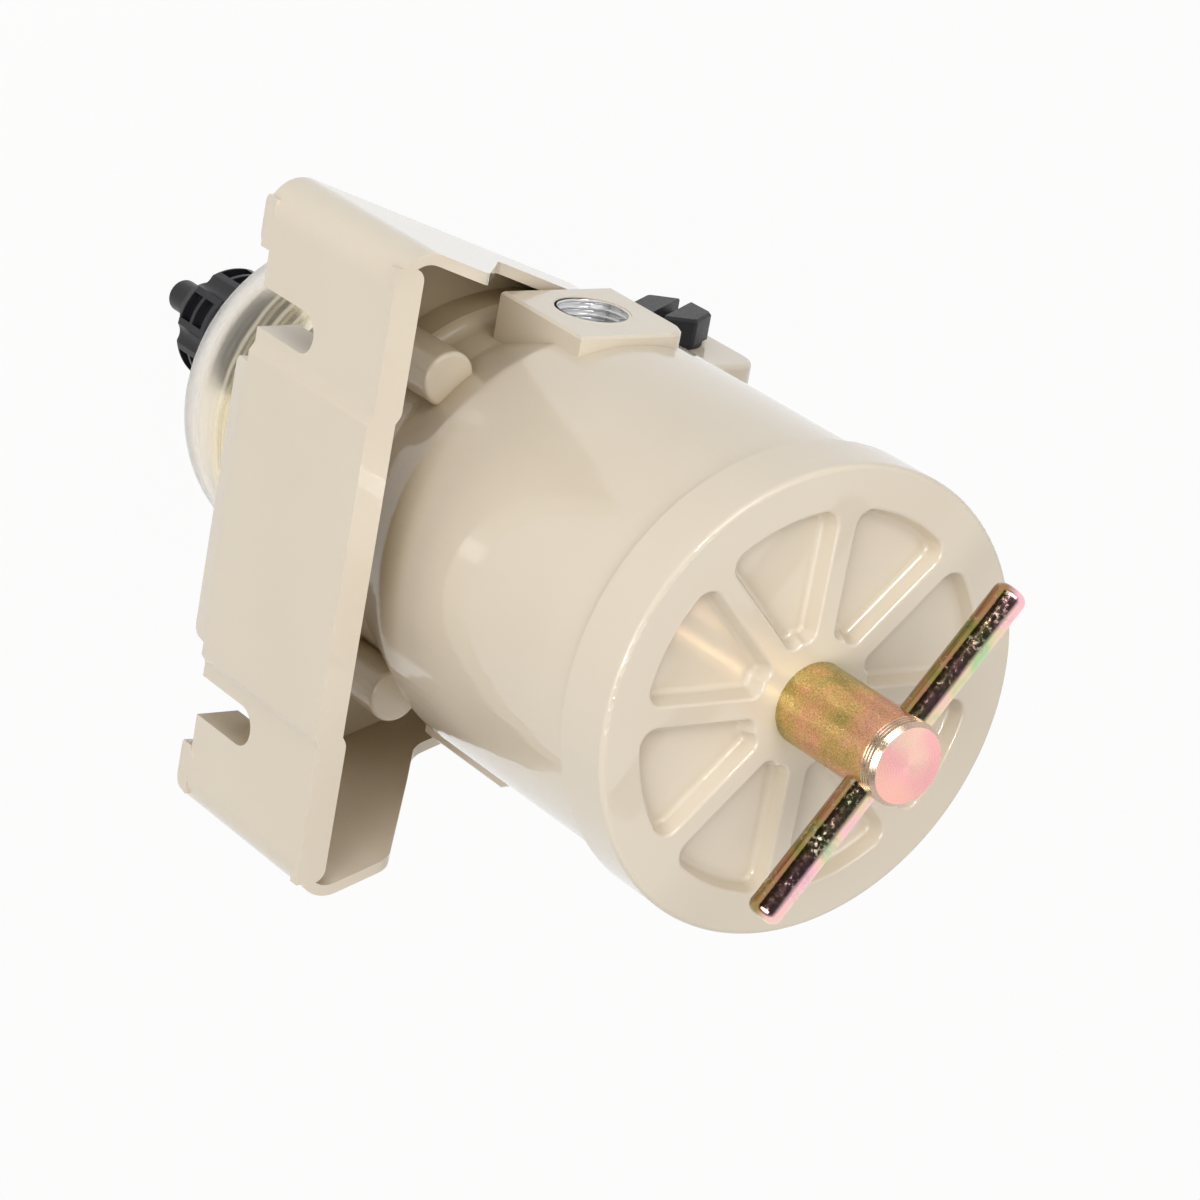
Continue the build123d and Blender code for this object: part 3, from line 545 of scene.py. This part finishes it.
def handle_screw():
    """The screw, with three fine turned grooves by its chamfered end."""
    hub_r = 0.0093
    chamfer = 0.001
    shank_r = 0.005
    shank_end = hub_foot - 0.038
    groove_depth = 0.00014
    groove_half = 0.00022
    groove_pitch = 0.00085
    first_groove = hub_tip - 0.0035
    profile = [(0.0, shank_end), (shank_r - chamfer, shank_end), (shank_r, shank_end + chamfer)]
    profile += [(shank_r, hub_foot), (hub_r, hub_foot)]
    for groove in range(3):
        level = first_groove + groove * groove_pitch
        profile += [(hub_r, level - groove_half), (hub_r - groove_depth, level), (hub_r, level + groove_half)]
    profile += [(hub_r, hub_tip - chamfer), (hub_r - chamfer, hub_tip), (0.0, hub_tip)]
    piece = lathe("handle_screw_turned", profile)
    piece.data.materials.append(turned_hub_film())
    return piece


bar_film = drawn_bar_film()
screw_piece = handle_screw()
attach(screw_piece, "handle")
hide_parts("handle_screw")
rounded_copy("handle_bar", "handle", bar_film, 0.0003)

# Bracket
# The bracket is pressed from steel sheet, folded and joggled, and enamelled with the body.
# Its feet are clamped under the rear screws of the ring.

rounded_copy("bracket", "body", enamel, 0.0007)

# Port threads
# Both ports are drilled and tapped after painting, so their threads are bright metal.
# Each is one helical groove in a thin sleeve that lines the plain hole.

bright_thread = turned_metal("tapped_aluminium", (0.84, 0.84, 0.84), (0.74, 0.74, 0.75), 0.34, 0.0006)


def port_thread(name, side):
    """The thread of one port: side is 1 for the inlet and -1 for the outlet."""
    pitch = 0.0015875
    outer = 0.00862
    root = outer - 0.00006
    crest = 0.00785
    chamfer = 0.0001
    sunk = 0.0001
    depth = 0.0136
    flank = 1.25
    crest_flat = 0.1
    steps = 128
    cuts = 16
    crease = math.radians(40)
    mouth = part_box("housing")[1][0]
    axis_z = 0.012
    rows = int(depth / pitch * cuts)
    mesh = bpy.data.meshes.new(name)
    work = bmesh.new()

    def wall(turn, along):
        """The radius of the thread at a share of a turn and a depth into the port."""
        share = ((along / pitch) - turn) % 1.0
        rise = min(1.0, max(0.0, 2.0 * abs(share - 0.5) * flank - crest_flat))
        return crest + (root - crest) * rise

    def spot(radius, turn, along):
        """A place in the port."""
        angle = 2 * math.pi * turn
        x = mouth - sunk - along
        return Vector((side * x, body_axis_y + radius * math.cos(angle), axis_z + radius * math.sin(angle)))

    grid = []
    for row in range(rows + 1):
        along = depth * row / rows
        grid.append([work.verts.new(spot(wall(s / steps, along), s / steps, along)) for s in range(steps)])
    rim = [work.verts.new(spot(crest + chamfer, s / steps, 0.0)) for s in range(steps)]
    front = [work.verts.new(spot(outer, s / steps, 0.0)) for s in range(steps)]
    back = [work.verts.new(spot(outer, s / steps, depth)) for s in range(steps)]
    rings = [front, rim, *grid, back, front]
    for near, far in zip(rings, rings[1:]):
        for s in range(steps):
            after = (s + 1) % steps
            made = work.faces.new((near[s], near[after], far[after], far[s]))
            made.material_index = 1 if near is front else 0
    bmesh.ops.recalc_face_normals(work, faces=work.faces)
    work.to_mesh(mesh)
    work.free()
    mesh.shade_smooth()
    mesh.set_sharp_from_angle(angle=crease)
    mesh.materials.append(bright_thread)
    mesh.materials.append(enamel)
    piece = bpy.data.objects.new(name, mesh)
    bpy.context.scene.collection.objects.link(piece)
    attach(piece, "body")


port_thread("inlet_thread", 1)
port_thread("outlet_thread", -1)

# Studio
# A plain white sweep under soft boxes: the floor keeps a faint shadow, and the surround
# is white to the eye and in reflections. Two small lamps and a dark canopy show in gloss only.

white_light = (1.0, 1.0, 1.0, 1.0)
studio_middle = Vector((0.0, -0.06, 0.0))


def seen_plainly(tree):
    """1 for what the eye sees, straight, mirrored or through the bowl, and 0 for light on the object."""
    rays = add(tree, "LightPath").outputs
    mirrored = maths(tree, "MAXIMUM", rays["Is Camera Ray"], rays["Is Glossy Ray"])
    return maths(tree, "MAXIMUM", mirrored, rays["Is Transmission Ray"])


def studio_floor():
    """White to the eye, with a twentieth left for the object's shadow, and pale grey as a source of light."""
    cloth = (0.62, 0.60, 0.56, 1.0)
    whitened = 0.95
    material = bpy.data.materials.new("white_sweep")
    material.use_nodes = True
    tree = material.node_tree
    tree.nodes.clear()
    lit = add(tree, "BsdfDiffuse", {"Color": cloth})
    white = add(tree, "Emission", {"Color": white_light, "Strength": 1.0})
    share = maths(tree, "MULTIPLY", seen_plainly(tree), whitened)
    mix = add(tree, "MixShader", {0: share, 1: lit.outputs[0], 2: white.outputs[0]})
    add(tree, "OutputMaterial", {"Surface": mix.outputs[0]})
    return material


floor_half = 6.0
floor_level = cad_box[0][2] - 0.0045
floor_mesh = bpy.data.meshes.new("studio_floor")
floor_mesh.from_pydata(
    [(x * floor_half, y * floor_half, floor_level) for x, y in ((-1, -1), (1, -1), (1, 1), (-1, 1))],
    [], [(0, 1, 2, 3)],
)
floor_mesh.materials.append(studio_floor())
floor = bpy.data.objects.new("studio_floor", floor_mesh)
bpy.context.scene.collection.objects.link(floor)


def white_room():
    """Plain even light on the object, and white to the eye."""
    fill = 0.36
    world = bpy.data.worlds.new("white_room")
    world.use_nodes = True
    room = world.node_tree
    room.nodes.clear()
    plain = add(room, "Background", {"Color": white_light, "Strength": fill})
    white = add(room, "Background", {"Color": white_light, "Strength": 1.0})
    mix = add(room, "MixShader", {0: seen_plainly(room), 1: plain.outputs[0], 2: white.outputs[0]})
    add(room, "OutputWorld", {"Surface": mix.outputs[0]})
    return world


bpy.context.scene.world = white_room()


def soft_box(name, place, width, height, watts):
    """A lamp behind a white cloth, turned so that its width runs along the handle's bar."""
    bar = Vector((0.806, -0.592, 0.0))
    lamp = bpy.data.lights.new(name, "AREA")
    lamp.shape = "RECTANGLE"
    lamp.size, lamp.size_y = width, height
    lamp.energy = watts
    box = bpy.data.objects.new(name, lamp)
    bpy.context.scene.collection.objects.link(box)
    away = (Vector(place) - studio_middle).normalized()
    across = (bar - away * bar.dot(away)).normalized()
    turn = Matrix((across, away.cross(across), away)).transposed().to_4x4()
    box.matrix_world = Matrix.Translation(place) @ turn
    return box


soft_box("key_box", (1.20, 0.28, 0.85), 0.8, 1.5, 5.5)
soft_box("front_box", (0.0, 1.20, 1.00), 0.8, 1.5, 15.5)
soft_box("top_box", (0.95, -0.10, 1.20), 0.7, 1.2, 6.0)
for bulb_name, bulb_place in (("near_bulb", (1.10, 0.55, 1.00)), ("far_bulb", (0.05, 1.00, 1.20))):
    bulb = soft_box(bulb_name, bulb_place, 0.20, 0.20, 6.5)
    bulb.visible_diffuse = False


def black_felt(back):
    """Dense straight behind the camera and thin towards the edge of the canopy."""
    black = (0.010, 0.010, 0.010)
    worn = (0.022, 0.022, 0.022)
    edge_density = 0.24
    middle_density = 0.68
    material, tree, shader, place = new_finish("black_felt", {"Roughness": 0.9, "Specular IOR Level": 0.1})
    nap = mottle(tree, place, 0.004, 3.0)
    feed(tree, tints(tree, nap, [(0.3, black), (0.7, worn)]), shader, "Base Color")
    outward = add(tree, "VectorMath", {0: place}, operation="NORMALIZE").outputs[0]
    facing = add(tree, "VectorMath", {0: outward, 1: back}, operation="DOT_PRODUCT").outputs["Value"]
    feed(tree, levels(tree, facing, 0.0, 0.97, edge_density, middle_density), shader, "Alpha")
    return material


def dark_canopy():
    """The unlit side of the room behind the camera, which only gloss and bright metal can see."""
    back = Vector((0.335, 0.586, 0.737))
    canopy_r = 2.3
    edge = 0.1
    mesh = bpy.data.meshes.new("dark_canopy")
    work = bmesh.new()
    bmesh.ops.create_uvsphere(work, u_segments=48, v_segments=32, radius=canopy_r)
    beyond = [v for v in work.verts if v.co.normalized().dot(back) < edge]
    bmesh.ops.delete(work, geom=beyond, context="VERTS")
    bmesh.ops.translate(work, verts=work.verts, vec=studio_middle)
    work.to_mesh(mesh)
    work.free()
    mesh.materials.append(black_felt(back))
    canopy = bpy.data.objects.new("dark_canopy", mesh)
    bpy.context.scene.collection.objects.link(canopy)
    canopy.visible_camera = False
    canopy.visible_diffuse = False
    canopy.visible_shadow = False
    canopy.visible_transmission = False


dark_canopy()

# Camera
# The camera looks down on the lid from behind the wall face, rolled so that the inlet
# side points up, as in the photograph.

focal_pixels = 4681.25
picture_pixels = 1200.0
film_width = 36.0
camera_place = (0.334852, 0.530707, 0.785105)
right = Vector((0.171809, -0.807686, 0.564026))
up = Vector((0.926325, -0.062397, -0.371522))
ahead = Vector((-0.335267, -0.586302, -0.737459))

camera_data = bpy.data.cameras.new("camera")
camera_data.sensor_width = film_width
camera_data.lens = film_width * focal_pixels / picture_pixels
camera_data.clip_start = 0.05
camera_data.clip_end = 50.0
camera = bpy.data.objects.new("camera", camera_data)
bpy.context.scene.collection.objects.link(camera)
facing = Matrix((right, up, -ahead)).transposed().to_4x4()
camera.matrix_world = Matrix.Translation(camera_place) @ facing
bpy.context.scene.camera = camera
bpy.context.scene.view_settings.view_transform = "Standard"
